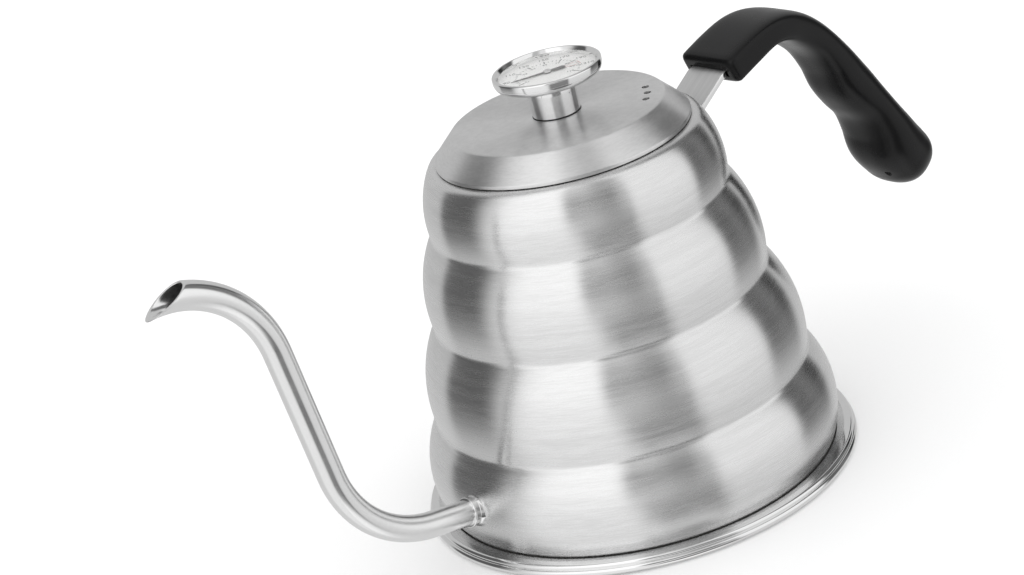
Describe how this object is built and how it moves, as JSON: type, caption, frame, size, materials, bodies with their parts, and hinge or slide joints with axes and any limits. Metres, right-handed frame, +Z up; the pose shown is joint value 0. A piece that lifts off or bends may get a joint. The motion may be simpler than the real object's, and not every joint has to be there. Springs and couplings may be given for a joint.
{
  "type": "gooseneck kettle",
  "caption": "Stovetop pour-over kettle with a tiered conical body, a slim gooseneck spout, a side handle and a lift-off lid whose knob is a dial thermometer.",
  "frame": {"origin": "centre of the flat resting face of the base", "axes": "+Z up along the kettle's axis, +X towards the handle, the spout points to -X"},
  "size_m": [0.319, 0.15, 0.1495],
  "materials": {
    "brushed_body": "circumferentially brushed satin",
    "base_sheet": "satin",
    "aluminium_core": "plain",
    "polished_steel": "polished",
    "satin_tube": "satin, lightly polished",
    "strap_steel": "satin",
    "grip_plastic": "fine satin",
    "brass": "turned",
    "fastener_steel": "plain zinc",
    "lid_satin": "fine satin",
    "black_silicone": "matt",
    "case_steel": "brushed",
    "dial_white": "printed white, satin",
    "lens_glass": "clear",
    "bimetal": "rolled strip",
    "pointer_black": "matt black"
  },
  "bodies": {
    "kettle": {"body_shell": "brushed_body", "bottom_pan": "base_sheet", "base_core": "aluminium_core", "base_cap": "base_sheet", "base_rim": "polished_steel", "spout_collar": "brushed_body", "spout_ring": "polished_steel", "spout_tube": "satin_tube", "handle_strap": "strap_steel", "handle_grip": "grip_plastic", "grip_insert": "brass", "grip_screw": "fastener_steel"},
    "lid": {"lid_cover": "lid_satin", "lid_skirt": "base_sheet", "knob_gasket": "black_silicone", "knob_neck": "polished_steel", "stem_bush": "fastener_steel", "seal_washer": "black_silicone", "flat_washer": "fastener_steel", "lock_nut": "fastener_steel", "thermo_case": "case_steel", "dial_plate": "dial_white", "lens_gasket": "black_silicone", "lens": "lens_glass", "bezel_ring": "polished_steel", "probe_tube": "satin_tube", "probe_plug": "satin_tube", "bimetal_coil": "bimetal", "guide_bush": "brass"},
    "pointer": {"spindle": "fastener_steel", "pointer": "pointer_black", "pointer_hub": "polished_steel"}
  },
  "joints": [
    {"name": "lid_lift", "type": "slide", "parent": "kettle", "child": "lid", "axis": [0, 0, 1], "range_m": [0, 0.11]},
    {"name": "pointer_turn", "type": "hinge", "parent": "lid", "child": "pointer", "pos_m": [0, 0, 0.147], "axis": [0, 0, -1], "range_deg": [-20, 220], "stiffness_Nm_per_rad": 0.00002}
  ]
}
